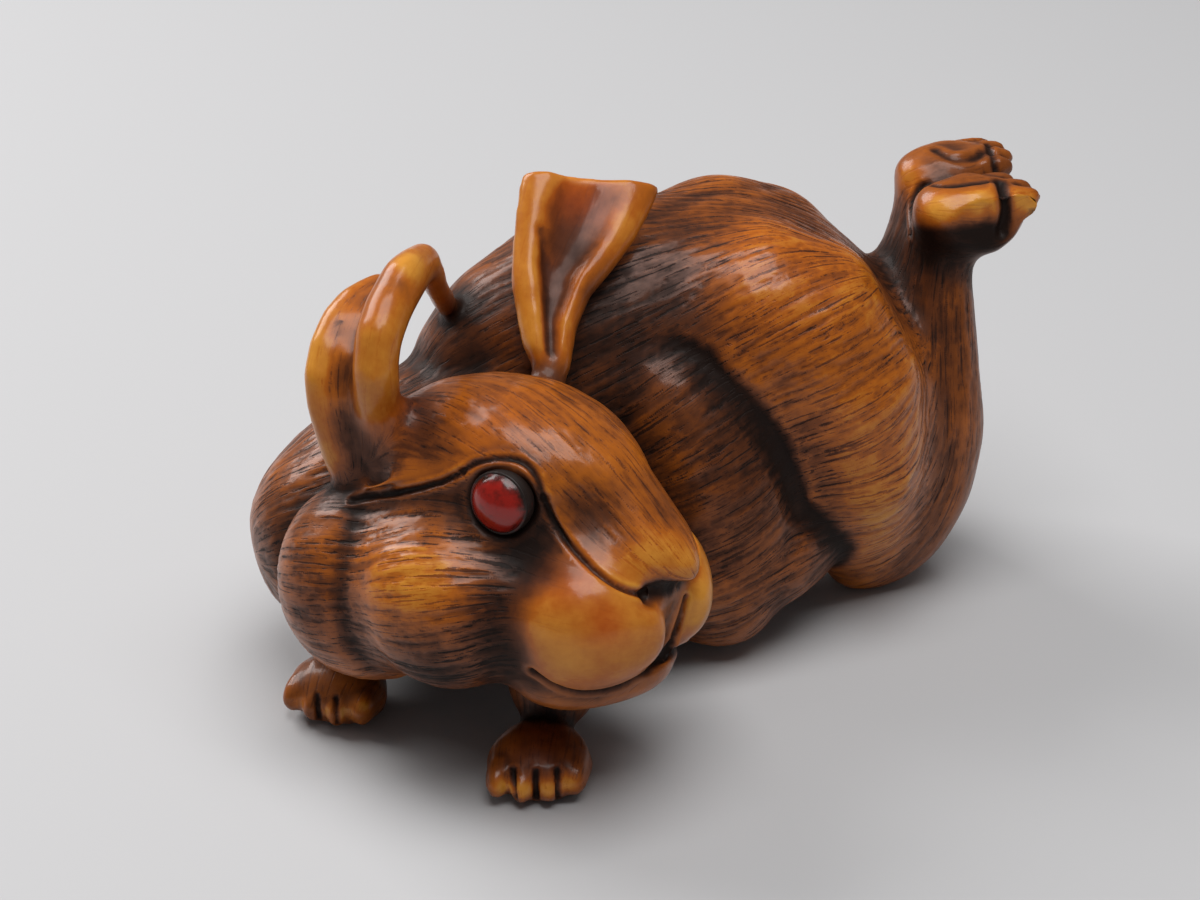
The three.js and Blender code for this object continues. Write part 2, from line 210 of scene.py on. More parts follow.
EAR_FORMS = [
    form("front_rim", "body",
         [(-11.8, -8.4, 13.2), (-14.2, -9.6, 19.7), (-15, -10.8, 23.3), (-15, -11, 26.1), (-14.4, -9, 27.7),
          (-13.5, -6.4, 28.4), (-12.6, -3.6, 28.2), (-12, -0.6, 25.1), (-11.4, 4, 21.3)],
         [(3, 3.4), (1.9, 2.1), (1.6, 1.5), (1.6, 1.4), (1.6, 1.4),
          (1.5, 1.3), (1.3, 1.1), (0.9, 0.8), (1.2, 1.1)],
         up=(1, 0, 0), blunt=0.4, tone=0.56, strokes=0.15, soft=0.35),
    form("rear_rim", "body",
         [(-15.5, -7.4, 13), (-17.7, -9.4, 19.6), (-18.4, -9.4, 23.8),
          (-17.3, -6.6, 26.4), (-14.8, -3.4, 27.1)],
         [(2, 1.8), (1.1, 1), (1, 0.9), (1, 0.9), (0.9, 0.9)],
         up=(1, 0, 0), blunt=0.4, tone=0.6, strokes=0.2, soft=0.2),
    form("ear_hollow", "body",
         [(-14.2, -8, 13.4), (-16.1, -9.6, 20), (-16.7, -9.6, 23.8), (-15.8, -6.9, 26.6), (-14, -3.7, 27.2)],
         [(1.6, 2), (0.9, 2), (0.8, 1.9), (0.8, 1.6), (0.8, 1)],
         up=(1, 0, 0), blunt=0.5, tone=0.5, strokes=0.5, soft=0.3),
    form("leaf", "body",
         [(-5.2, -5.6, 18.5), (-5.5, -2.6, 22.4), (-5.2, 0.2, 25.4),
          (-3.9, 2.6, 27.9), (-2.7, 5.2, 30.4), (-2, 6.8, 32)],
         [(1.5, 1.4), (1.7, 1.4), (2.7, 1.4), (3.8, 1.3), (4.6, 1.2), (5, 1.2)],
         up=(0.25, -0.65, 0.71), blunt=0.35, tone=0.56, strokes=0.08, soft=0.12),
]

# Pairs of forms that flow into each other; every other meeting is a carved crease
BLENDED = {
    ("back", "shoulder"), ("back", "flank"), ("back", "tail"), ("back", "belly"),
    ("flank", "belly"), ("shoulder", "belly"), ("shoulder", "flank"), ("brow", "face"), ("brow", "cheek"),
    ("near_leg", "near_paw"), ("far_leg", "far_paw"),
    ("near_leg", "belly"), ("far_leg", "shoulder"), ("near_leg", "shoulder"),
    ("ear_hollow", "front_rim"), ("ear_hollow", "rear_rim"),
}

# Meetings that are rubbed away to one mass, and the width of the rubbed band in millimetres
MELTED = {
    ("thigh", "shin"): 4.2, ("thigh", "hocks"): 3.0, ("back", "hocks"): 3.0, ("back", "shin"): 3.0,
    ("back", "thigh"): 2.6, ("shin", "hocks"): 1.6,
    ("hocks", "near_foot"): 0.6, ("hocks", "far_foot"): 0.6,
    ("shin", "near_foot"): 0.6, ("shin", "far_foot"): 0.6,
    ("brow", "crown"): 1.0, ("brow", "lip"): 0.9, ("crown", "lip"): 1.3, ("face", "lip"): 1.8,
    ("cheek", "lip"): 1.8, ("jowl", "cheek"): 1.0, ("face", "cheek"): 1.5, ("face", "jowl"): 1.2,
    ("crown", "leaf"): 1.0, ("crown", "front_rim"): 1.4, ("crown", "rear_rim"): 1.2,
}

# Forms sunk along the edge of a prouder one: how wide and how deep, in millimetres
Sunk = namedtuple("Sunk", "lower higher width depth")
SUNK = [
    Sunk("flank", "thigh", 2.4, 0.42),
    Sunk("belly", "thigh", 2.4, 0.36),
]

# Flats on the hind feet, in the hindquarters' frame: a point on each one and the way it faces
Flat = namedtuple("Flat", "form at facing")
FLATS = [
    Flat("near_foot", (12.0, -4.75, 25.0), (0.0, -1.0, 0.12)),
    Flat("near_foot", (12.0, -2.7, 26.8), (-0.03, -0.08, 1.0)),
    Flat("far_foot", (12.0, 4.75, 25.0), (0.0, 1.0, 0.12)),
    Flat("far_foot", (12.9, 2.7, 26.8), (-0.03, 0.08, 1.0)),
]

# Lines that the graver cut, as places in the photograph: width, depth and lip in millimetres
Cut = namedtuple("Cut", "name pixels width depth lip stain both_sides", defaults=(False,))
CUTS = [
    Cut("brow", [(352, 500), (372, 496), (396, 493), (420, 488), (444, 481), (462, 472)],
        0.17, 0.24, 0.08, 0.35, True),
    Cut("over the eye", [(462, 472), (476, 463), (500, 458), (522, 462), (536, 476), (544, 498)],
        0.17, 0.2, 0.06, 0.45, True),
    Cut("nose", [(544, 498), (553, 520), (567, 541), (585, 561), (605, 578), (624, 589), (644, 595)],
        0.18, 0.34, 0.04, 0.45, True),
    Cut("nostril", [(648, 592), (656, 590), (665, 589), (674, 588)], 0.5, 0.38, 0.0, 0.9, True),
    Cut("philtrum", [(686, 598), (682, 614), (675, 634), (667, 651)], 0.18, 0.3, 0.04, 0.3),
    Cut("mouth", [(670, 646), (655, 663), (638, 676), (618, 686), (596, 691), (574, 691), (552, 684),
                  (534, 672)],
        0.24, 0.4, 0.06, 0.4, True),
    Cut("cheek fold", [(356, 514), (346, 545), (341, 580), (342, 615), (352, 645), (370, 670), (392, 686)],
        0.7, 0.12, 0.0, 0.05, True),
    Cut("leaf groove", [(541, 230), (544, 260), (547, 300), (549, 350)], 0.35, 0.1, 0.0, 0.1),
    Cut("spine", [(652, 216), (676, 204), (708, 193), (744, 186), (776, 185)], 0.7, 0.08, 0.0, 0.06),
    Cut("toe notch", [(1001, 182), (1005, 198), (1006, 214), (1002, 232)], 0.34, 0.4, 0.05, 0.7),
    Cut("heel groove", [(921, 186), (914, 198), (911, 214), (911, 234)], 0.2, 0.22, 0.06, 0.4),
    Cut("foot edge", [(916, 232), (940, 233), (970, 231), (996, 228)], 0.4, 0.04, 0.0, 0.3),
    Cut("foot top", [(926, 184), (950, 186), (975, 183), (998, 180)], 0.2, 0.14, 0.0, 0.25),
    Cut("far pad", [(935, 150), (952, 158), (972, 158), (990, 150)], 0.3, 0.14, 0.06, 0.12),
    Cut("far toe", [(988, 146), (993, 158), (996, 172)], 0.22, 0.2, 0.05, 0.25),
]


def claw_splits(which, lines, width, depth, lip, stain):
    """The cuts between the claws of one paw."""
    return [Cut(f"{which} split {number}", line, width, depth, lip, stain)
            for number, line in enumerate(lines, 1)]


CUTS += claw_splits("near", [
    [(513, 770), (514, 786), (516, 804)],
    [(536, 772), (536, 790), (537, 808)],
    [(557, 770), (558, 786), (558, 804)]], 0.15, 0.28, 0.05, 0.6)
CUTS += claw_splits("far", [
    [(317, 696), (318, 710), (320, 722)],
    [(336, 698), (337, 712), (338, 726)]], 0.13, 0.22, 0.04, 0.5)

# Gentle hollows, as places in the photograph: radius and depth in millimetres, below 0 for a swelling
Dent = namedtuple("Dent", "name pixel radius depth both_sides")
DENTS = [
    Dent("saddle", (592, 506), 1.9, 0.72, True),
    Dent("bridge", (655, 550), 1.8, -0.36, True),
    Dent("temple", (440, 440), 2.2, 0.3, True),
    Dent("below the eye", (520, 560), 1.6, 0.25, True),
    Dent("ear tip", (408, 264), 1.3, -0.28, False),
]

# Strokes whose lie the photograph shows, from pixel to pixel, and how far each one leads the hair round it
Stroke = namedtuple("Stroke", "start end reach")
STROKES = [
    Stroke((715, 292), (755, 268), 4.0),
    Stroke((800, 335), (850, 306), 4.5),
    Stroke((800, 432), (860, 412), 4.5),
    Stroke((830, 524), (890, 521), 4.0),
    Stroke((680, 420), (705, 396), 3.5),
    Stroke((690, 520), (725, 503), 3.5),
    Stroke((690, 612), (730, 592), 3.0),
    Stroke((375, 602), (440, 595), 5.0),
    Stroke((290, 600), (325, 602), 3.0),
    Stroke((260, 505), (305, 492), 3.0),
    Stroke((480, 398), (520, 440), 4.0),
    Stroke((590, 470), (640, 525), 4.0),
]

# Rubbed and stained spots, and spots of painted shade and painted highlight, as places in the photograph:
# radius in millimetres, change of tone, redness
Spot = namedtuple("Spot", "name pixel radius tone red", defaults=(0.0,))
SPOTS = [
    Spot("cheek", (405, 588), 3.4, 0.2),
    # The next three spots are painted shade: under the cheek, behind it and in the mouth's corner.
    Spot("cheek below", (430, 672), 3.2, -0.5),
    Spot("cheek rear", (488, 612), 2.2, -0.28, 0.1),
    Spot("lip corner", (512, 655), 1.5, -0.3),
    Spot("lip", (575, 648), 2.6, 0.06, 0.1),
    Spot("lip front", (632, 640), 2.0, 0.1, 0.1),
    Spot("lip patch", (608, 624), 1.1, -0.1, 0.6),
    Spot("lip top", (572, 582), 1.7, -0.14, 0.4),
    # Painted highlight on the dip between forehead and nose.
    Spot("saddle", (598, 508), 1.5, 0.2),
    Spot("ear foot", (345, 466), 2.0, 0.28, 0.1),
    Spot("far lip", (696, 612), 1.4, 0.16),
    # Rubbed lighter on the bridge of the nose, and partly a painted highlight there.
    Spot("bridge", (650, 545), 2.4, 0.24, 0.1),
    Spot("nose end", (692, 562), 1.3, 0.18),
    # Painted shade under the eye.
    Spot("under eye", (535, 570), 1.6, -0.2, 0.1),
    Spot("forehead", (490, 425), 3.4, 0.06, 0.2),
    Spot("ear hatch", (428, 428), 1.5, -0.22),
    Spot("jowl", (312, 620), 2.8, -0.12, 0.1),
    Spot("ear tip", (412, 263), 0.85, 0.5),
    Spot("ear front", (376, 370), 2.4, 0.12),
    Spot("ear rim", (313, 355), 1.6, 0.2),
    Spot("ear inside", (405, 400), 1.3, -0.12, 0.4),
    Spot("leaf rim left", (512, 235), 1.3, 0.22),
    Spot("leaf rim right", (616, 225), 1.5, 0.22, 0.1),
    Spot("leaf inside", (578, 200), 2.2, 0.24, 0.8),
    Spot("leaf base", (549, 330), 1.8, 0.22, 0.2),
    Spot("leaf middle", (546, 270), 1.8, 0.22, 0.3),
    Spot("ear root", (392, 430), 1.8, 0.16, 0.2),
    # The next two spots are painted shade on the back, behind the upright ear and between the ears.
    Spot("behind leaf", (610, 330), 3.6, -0.24),
    Spot("back left", (465, 320), 3.2, -0.16),
    Spot("flank", (735, 450), 4.0, -0.14),
    # Partly stain and partly painted shade in the fold in front of the thigh.
    Spot("flank fold", (795, 480), 2.2, -0.08),
    Spot("thigh top", (790, 275), 5.0, 0.1, 0.2),
    Spot("thigh", (860, 440), 4.4, 0.1, 0.1),
    Spot("thigh low", (870, 525), 3.4, 0.14),
    Spot("thigh front", (765, 385), 2.4, 0.12),
    Spot("thigh rear", (935, 420), 3.0, 0.08),
    Spot("hock", (950, 300), 2.6, -0.04),
    Spot("ankle", (930, 262), 1.8, -0.12),
    Spot("foot side", (940, 208), 1.1, 0.5),
    Spot("foot side rear", (980, 203), 1.1, 0.5),
    # The next three spots are painted shade under the hind foot.
    Spot("heel under", (926, 243), 1.1, -0.5),
    Spot("foot under", (955, 248), 1.4, -0.6),
    Spot("toe under", (990, 241), 1.2, -0.6),
    Spot("last toe", (1022, 196), 0.8, 0.4),
    Spot("toe tip", (1032, 203), 0.8, 0.4),
    Spot("far heel", (910, 178), 1.2, 0.3),
    Spot("belly", (718, 605), 2.0, 0.12),
    Spot("shoulder", (266, 480), 3.0, 0.04),
    Spot("paw", (540, 752), 2.0, -0.06, 0.5),
    Spot("far outer claw", (364, 706), 0.5, 0.4),
]


def claw_spots(which, pixels, radius, tone):
    """Bare horn on the claws of one paw."""
    return [Spot(f"{which} claw {number}", pixel, radius, tone) for number, pixel in enumerate(pixels, 1)]


SPOTS += claw_spots("near", [(504, 787), (525, 790), (547, 790), (568, 784)], 0.62, 0.55)
SPOTS += claw_spots("far", [(301, 704), (326, 711), (346, 712)], 0.5, 0.45)


class CarvingSettings(bpy.types.PropertyGroup):
    """Sizes of the carving's fine surface."""

    grain: FloatProperty(
        name="Grain", description="Spacing of the carved surface's points, in millimetres",
        default=0.18, min=0.12, max=1.0)
    rounding: IntProperty(
        name="Rounding", description="Passes that round each form", default=150, min=0, max=400)
    hair_pitch: FloatProperty(
        name="Hair pitch", description="Spacing of the engraved hair, in millimetres", default=0.5, min=0.2)
    hair_depth: FloatProperty(
        name="Hair depth", description="Depth of the engraved hair, in millimetres", default=0.045, min=0.0)
    triangles: IntProperty(
        name="Triangles", description="Most triangles on the finished carving", default=195000, min=10000)


def colour(name, description, red, green, blue):
    """A colour that a user may change."""
    return FloatVectorProperty(
        name=name, description=description, subtype="COLOR", size=4,
        default=(red, green, blue, 1.0), min=0.0, max=1.0)


class FinishSettings(bpy.types.PropertyGroup):
    """Colours of the stained antler and of the eyes, from the darkest stain to worn horn."""

    # The darkest colours also serve for the shade painted into creases, beside sunk forms, round the eyes and
    # under parts.
    soot: colour("Soot", "Stain in the deepest cuts", 0.011, 0.0045, 0.0025)
    umber: colour("Umber", "Dark stained hollows", 0.038, 0.013, 0.006)
    chestnut: colour("Chestnut", "Brown stain", 0.11, 0.031, 0.008)
    tan: colour("Tan", "Orange brown of the middle tones", 0.26, 0.070, 0.009)
    amber: colour("Amber", "Golden rubbed surface", 0.44, 0.122, 0.009)
    straw: colour("Straw", "Bare worn horn", 0.66, 0.29, 0.035)
    garnet: colour("Garnet", "Red of the eyes", 0.29, 0.010, 0.005)


class StageSettings(bpy.types.PropertyGroup):
    """The camera, the floor and the lights."""

    lens: FloatProperty(
        name="Lens", description="Focal length of the camera, in millimetres", default=105.0, min=1.0)
    distance: FloatProperty(
        name="Distance", description="From the camera to the middle of the view", subtype="DISTANCE",
        default=0.212, min=0.01)
    elevation: FloatProperty(
        name="Elevation", description="Angle of the camera above the horizon", subtype="ANGLE",
        default=math.radians(28.0))
    floor_colour: colour("Floor", "Colour of the floor", 0.52, 0.52, 0.53)
    window_power: FloatProperty(
        name="Window", description="Power of the soft light at the left", default=0.85, min=0.0)
    ceiling_power: FloatProperty(
        name="Ceiling", description="Power of the soft light overhead", default=1.15, min=0.0)
    ambient: FloatProperty(
        name="Ambient", description="Strength of the light all round", default=0.13, min=0.0)


def smooth_line(points, steps):
    """A smooth curve through points, sampled evenly between each two of them."""
    points = np.asarray(points, float)
    ends = np.vstack([2 * points[0] - points[1], points, 2 * points[-1] - points[-2]])
    sampled = []
    for i in range(len(points) - 1):
        a, b, c, d = ends[i:i + 4]
        for t in np.linspace(0, 1, steps, endpoint=False):
            sampled.append(0.5 * (2 * b + (c - a) * t + (2 * a - 5 * b + 4 * c - d) * t ** 2
                                  + (3 * b - a - 3 * c + d) * t ** 3))
    sampled.append(points[-1])
    return np.array(sampled)


def unit(vectors):
    """Vectors scaled to length one."""
    return vectors / np.maximum(np.linalg.norm(vectors, axis=-1, keepdims=True), 1e-9)


def falloff(gap, width):
    """1 at a place, fading to 0 over about twice a width."""
    return np.exp(-(gap / width) ** 2)


def eased(share):
    """A share from 0 to 1 that starts and ends gently."""
    return share * share * (3 - 2 * share)


def laid_flat(vectors, outward):
    """Vectors without their part along the surface's normals."""
    return vectors - outward * (vectors * outward).sum(1, keepdims=True)


class Spine:
    """One form's spine in the carver's frame, with its frames and half sizes at each sample."""

    STEPS = 10

    def __init__(self, form, flip):
        place = np.array(PLACES[form.place])
        side = np.array([1.0, -1.0, 1.0]) if flip else np.ones(3)
        line = smooth_line(np.array(form.spine) * side, self.STEPS) @ place[:3, :3].T + place[:3, 3]
        up = np.array(form.up, float) @ place[:3, :3].T
        self.form = form
        self.line = line
        self.forward = unit(np.gradient(line, axis=0))
        self.aside = unit(np.cross(up, self.forward))
        self.lift = np.cross(self.forward, self.aside)
        thinnest = 0.02
        share = np.linspace(0, 1, len(line))
        closing = np.sqrt(np.maximum(1 - (1 - 2 * share) ** 2, thinnest)) ** form.blunt
        girth = smooth_line(form.girth, self.STEPS)
        self.half = girth * closing[:, None]
        self.hair = None
        if form.hair:
            self.hair = unit(np.array(form.hair) * side)

    def nearest(self, points):
        """The sample nearest to each point."""
        far = (self.line ** 2).sum(1) - 2 * points @ self.line.T
        return far.argmin(1)

    def measure(self, points):
        """How far out each point is: as a share of the half size, and in millimetres from the form's skin."""
        at = self.nearest(points)
        off = points - self.line[at]
        across = (off * self.aside[at]).sum(1) / self.half[at, 0]
        over = (off * self.lift[at]).sum(1) / self.half[at, 1]
        along = (off * self.forward[at]).sum(1) / self.half[at].mean(1)
        share = np.sqrt(across ** 2 + over ** 2 + along ** 2)
        return share, (share - 1) * self.half[at].mean(1)

    def lie(self, points):
        """The way the hair lies at each point."""
        if self.hair is not None:
            return np.broadcast_to(self.hair, points.shape)
        return self.forward[self.nearest(points)]


def all_spines():
    """Every form's spine, with both of each pair."""
    spines = []
    for made in HEAD_FORMS + LIMB_FORMS + BODY_FORMS + EAR_FORMS:
        spines.append(Spine(made, False))
        if made.paired:
            spines.append(Spine(made, True))
    return spines


def named(spines, name):
    """The places in a list of spines that hold a form's name."""
    return [i for i, spine in enumerate(spines) if spine.form.name == name]


def blend_table(spines):
    """Which forms flow into which, as a square table."""
    table = np.eye(len(spines), dtype=bool)
    for first, second in list(BLENDED) + list(MELTED):
        for i in named(spines, first):
            for j in named(spines, second):
                table[i, j] = table[j, i] = True
    return table


# A distance past every form's reach, and how far a point moves to its neighbours' mean in one pass
OUTSIDE = 9.0
PULL = 0.5


class Sorting:
    """Which form each point lies on, and its distances in millimetres from every form and from a crease."""

    def __init__(self, points, spines, blends):
        reach = 3.0
        self.spines = spines
        self.blends = blends
        shares = np.full((len(spines), len(points)), OUTSIDE, np.float32)
        self.gaps = shares.copy()
        for i, spine in enumerate(spines):
            margin = spine.half.max() + reach
            low, high = spine.line.min(0) - margin, spine.line.max(0) + margin
            inside = np.flatnonzero(((points > low) & (points < high)).all(1))
            shares[i, inside], self.gaps[i, inside] = spine.measure(points[inside])
        self.owner = shares.argmin(0)
        self.clear = self.nearest_gap(blends)
        proud = blends.copy()
        for sunk in SUNK:
            for i in named(spines, sunk.higher):
                proud[i, named(spines, sunk.lower)] = True
        self.shaded = self.nearest_gap(proud)

    def nearest_gap(self, ignored):
        """The distance from the nearest form that isn't ignored for each point's own form."""
        return np.maximum(np.where(ignored[self.owner].T, OUTSIDE, self.gaps).min(0), 0)

    def of_forms(self, key):
        """One value of each point's own form."""
        return np.array([getattr(spine.form, key) for spine in self.spines], float)[self.owner]

    def in_place(self, place):
        """Whether each point's own form belongs to a place."""
        return np.array([spine.form.place == place for spine in self.spines])[self.owner]

    def links(self, block, across):
        """How strongly neighbours hold together: fully within a mass, less across a crease."""
        return np.where(self.blends[self.owner[block.first], self.owner[block.second]], 1.0, across)

    def melting(self):
        """Where meetings are rubbed away, from 0 to 1."""
        mask = np.zeros(len(self.owner))
        for (first, second), width in MELTED.items():
            for i in named(self.spines, first):
                for j in named(self.spines, second):
                    gap = np.abs(self.gaps[i]) + np.abs(self.gaps[j])
                    mask = np.maximum(mask, falloff(gap, width))
        return mask

    def sinking(self):
        """How deep each point is sunk along a prouder form, in millimetres."""
        depth = np.zeros(len(self.owner))
        for sunk in SUNK:
            lower = np.isin(self.owner, named(self.spines, sunk.lower))
            for i in named(self.spines, sunk.higher):
                near = falloff(np.maximum(self.gaps[i], 0), sunk.width)
                depth = np.maximum(depth, sunk.depth * near * lower)
        return depth


# Large odd factors that scatter whole numbers into noise
CELL_FACTORS = np.array([73856093, 19349663, 83492791])
SEED_FACTOR = 2654435761
MIXING_FACTOR = 1274126177


def lattice_noise(coordinates, seed):
    """Smooth noise from -1 to 1 on a lattice of hashed whole numbers."""
    most = 0x7FFFFFFF
    base = np.floor(coordinates).astype(np.int64)
    share = coordinates - base
    fade = eased(share)
    total = np.zeros(len(coordinates))
    for corner in range(8):
        step = np.array([corner & 1, corner >> 1 & 1, corner >> 2 & 1])
        mixed = np.bitwise_xor.reduce((base + step) * CELL_FACTORS, axis=1) ^ seed * SEED_FACTOR
        mixed = (mixed ^ mixed >> 13) * MIXING_FACTOR & most
        weight = np.prod(np.where(step == 1, fade, 1 - fade), axis=1)
        total += weight * (mixed / (most >> 1) - 1)
    return total


class Block:
    """The carving's mesh as arrays in the carver's frame, in millimetres."""

    def __init__(self, mesh):
        self.mesh = mesh
        self.count = len(mesh.vertices)
        flat = np.empty(self.count * 3, np.float32)
        mesh.vertices.foreach_get("co", flat)
        self.points = flat.reshape(-1, 3).astype(float)
        pairs = np.empty(len(mesh.edges) * 2, np.int32)
        mesh.edges.foreach_get("vertices", pairs)
        self.first, self.second = pairs.reshape(-1, 2).T

    def store(self):
        """Writes the points back to the mesh."""
        self.mesh.vertices.foreach_set("co", self.points.astype(np.float32).ravel())
        self.mesh.update()

    def normals(self):
        """The direction outwards at each point."""
        self.store()
        flat = np.empty(self.count * 3, np.float32)
        self.mesh.vertex_normals.foreach_get("vector", flat)
        return flat.reshape(-1, 3).astype(float)

    def gap_to(self, place):
        """How far each point is from a place."""
        return np.linalg.norm(self.points - np.array(place), axis=1)

    def blurred(self, values, passes, links=None, pull=PULL):
        """Values pulled towards the mean of their neighbours, over and over."""
        still = 0.002
        links = np.ones(len(self.first)) if links is None else links
        pull = np.broadcast_to(np.asarray(pull, float), (self.count,))
        used = np.maximum(pull[self.first], pull[self.second]) > still
        first, second, links = self.first[used], self.second[used], links[used]
        shape = values.shape
        values = values.reshape(self.count, -1).copy()
        weight = np.bincount(first, links, self.count) + np.bincount(second, links, self.count)
        keep = weight > 0
        for _ in range(passes):
            for axis in range(values.shape[1]):
                column = values[:, axis]
                total = np.bincount(first, links * column[second], self.count)
                total += np.bincount(second, links * column[first], self.count)
                mean = np.where(keep, total / np.maximum(weight, 1e-9), column)
                values[:, axis] = column + pull * (mean - column)
        return values.reshape(shape)


def towards_camera(stage):
    """The direction from the object to the camera."""
    return Vector((0.0, -math.cos(stage.elevation), math.sin(stage.elevation)))


class Photograph:
    """Throws the photograph's pixels on to the carving."""

    def __init__(self, carving, stage):
        self.back = towards_camera(stage)
        self.up = Vector((0.0, self.back.z, -self.back.y))
        self.eye = VIEW_TARGET + self.back * (stage.distance / MM)
        self.pixels_per_length = stage.lens / SENSOR_WIDTH * PHOTO_WIDTH
        self.tree = BVHTree.FromObject(carving, bpy.context.evaluated_depsgraph_get())

    def landing(self, pixel):
        """Where a pixel's ray meets the carving, or None."""
        right = (pixel[0] - PHOTO_WIDTH / 2) / self.pixels_per_length
        rise = (PHOTO_HEIGHT / 2 - pixel[1]) / self.pixels_per_length
        ray = Vector((right, 0.0, 0.0)) + self.up * rise - self.back
        return self.tree.ray_cast(self.eye, ray.normalized())[0]

    def line(self, pixels):
        """A smooth line on the carving under a line of pixels."""
        steps = 12
        landed = [self.landing(pixel) for pixel in smooth_line(pixels, steps)]
        return np.array([spot for spot in landed if spot is not None])

    def opposite(self, line):
        """The same line on the other side of the head, laid on its surface."""
        head = PLACES["head"]
        mirrored = [head @ (Matrix.Scale(-1, 4, (0, 1, 0)) @ (head.inverted() @ Vector(p))) for p in line]
        return np.array([self.tree.find_nearest(p)[0] for p in mirrored])


def distance_to(line, points, reach):
    """The points near a line, and how far from it they are."""
    near = np.flatnonzero(((points > line.min(0) - reach) & (points < line.max(0) + reach)).all(1))
    if not len(near):
        return near, np.empty(0)
    gap = ((points[near, None] - line[None]) ** 2).sum(2).min(1)
    return near, np.sqrt(gap)


def across_cut(block, line, cut):
    """The points in reach of a cut, how far from its line they are and how deep in it, from 0 to 1."""
    reach = 4 * cut.width
    near, gap = distance_to(line, block.points, reach)
    return near, gap, falloff(gap, cut.width)


def engrave(block, line, cut):
    """Cuts one line into the block, with a slight lip along it."""
    near, gap, groove = across_cut(block, line, cut)
    lip = falloff(gap - 2 * cut.width, cut.width)
    move = cut.lip * lip - cut.depth * groove
    block.points[near] += block.normals()[near] * move[:, None]


def stained_cuts(block, lines):
    """How dark the cut lines are stained at each point."""
    marks = np.zeros(block.count)
    for line, cut in lines:
        near, _, groove = across_cut(block, line, cut)
        marks[near] = np.maximum(marks[near], cut.stain * groove)
    return marks


def press_dents(block, photograph):
    """Presses the gentle hollows and raises the swellings."""
    move = np.zeros(block.count)
    for dent in DENTS:
        middles = [photograph.landing(dent.pixel)]
        if dent.both_sides:
            middles.extend(photograph.opposite(middles))
        for middle in middles:
            move += dent.depth * falloff(block.gap_to(middle), dent.radius)
    block.points -= block.normals() * move[:, None]
    block.store()


def round_forms(block, sorting, passes):
    """Rounds each form's facets, keeping the creases between forms, and gives back what the rounding took."""
    hold_across_creases = 0.12
    evening_passes = 4
    give_back_passes = 90
    links = sorting.links(block, hold_across_creases)
    before = block.points.copy()
    even = block.blurred(sorting.of_forms("soft"), evening_passes)
    block.points = block.blurred(block.points, passes, links, PULL * even)
    outward = block.normals()
    lost = ((before - block.points) * outward).sum(1)
    block.points += outward * block.blurred(lost, give_back_passes, links)[:, None]


def melt_forms(block, sorting):
    """Fills the meetings that are one mass, and off the head gives back the girth of the forms there."""
    melt_passes = 600
    give_back_passes = 240
    before = block.points.copy()
    outward = block.normals()
    block.points = block.blurred(before, melt_passes, pull=PULL * sorting.melting())
    lost = np.minimum(((block.points - before) * outward).sum(1), 0) * ~sorting.in_place("head")
    block.points -= outward * block.blurred(lost, give_back_passes)[:, None]


def press_creases(block, sorting):
    """Sinks forms below prouder ones, presses the creases and takes off the roughness."""
    crease_depth = 0.06
    crease_width = 0.3
    crease_passes = 6
    sinking_passes = 20
    evening_passes = 2
    softening_passes = 4
    pressed = block.blurred(crease_depth * falloff(sorting.clear, crease_width), crease_passes)
    pressed += block.blurred(sorting.sinking(), sinking_passes)
    block.points -= block.normals() * pressed[:, None]
    softness = np.sqrt(block.blurred(sorting.of_forms("soft"), evening_passes))
    block.points = block.blurred(block.points, softening_passes, pull=PULL * softness)


def flatten(block, sorting):
    """Cuts the flats on the hind feet."""
    place = PLACES["rump"]
    for flat in FLATS:
        at = np.array(place @ Vector(flat.at))
        facing = np.array((place.to_3x3() @ Vector(flat.facing)).normalized())
        over = np.maximum((block.points - at) @ facing, 0)
        over *= np.isin(sorting.owner, named(sorting.spines, flat.form))
        block.points -= over[:, None] * facing


def eye_places():
    """The middles of the two eyes in the carver's frame, and the ways they look."""
    left = node_middle("eye_left") / MM - CARVER_AT
    right = node_middle("eye_right") / MM - CARVER_AT
    across = (left - right).normalized()
    return {"right": (right, -across), "left": (left, across)}


def close_sockets(block):
    """Draws each socket in until it hugs its bead, and raises a lid round it."""
    socket_radius = 2.2
    fade_radius = 3.6
    lid_radius = 2.2
    lid_width = 0.35
    lid_height = 0.14
    for middle, _ in eye_places().values():
        off = block.points - np.array(middle)
        share = np.clip((fade_radius - block.gap_to(middle)) / (fade_radius - socket_radius), 0, 1)
        drawn_in = 1 - BEAD_SHARE * EYE_RADIUS / socket_radius
        block.points -= off * (eased(share) * drawn_in)[:, None]
        lid = falloff(block.gap_to(middle) - lid_radius, lid_width)
        block.points += block.normals() * (lid_height * lid)[:, None]


def lie_of_hair(block, sorting, photograph):
    """The way the hair lies over the whole surface, led by the strokes that the photograph shows."""
    rearward = np.array([1.0, 0.0, 0.3])
    lead = 3.0
    evening_passes = 50
    hold_across_creases = 0.02
    lie = np.zeros((block.count, 3))
    for i, spine in enumerate(sorting.spines):
        own = np.flatnonzero(sorting.owner == i)
        lie[own] = spine.lie(block.points[own])
    lie[lie @ rearward < 0] *= -1
    for stroke in STROKES:
        start, end = photograph.landing(stroke.start), photograph.landing(stroke.end)
        share = lead * falloff(block.gap_to((start + end) / 2), stroke.reach)
        lie += share[:, None] * np.array((end - start).normalized())
    outward = block.normals()
    links = sorting.links(block, hold_across_creases)
    lie = unit(block.blurred(unit(laid_flat(lie, outward)), evening_passes, links))
    return unit(laid_flat(lie, outward))


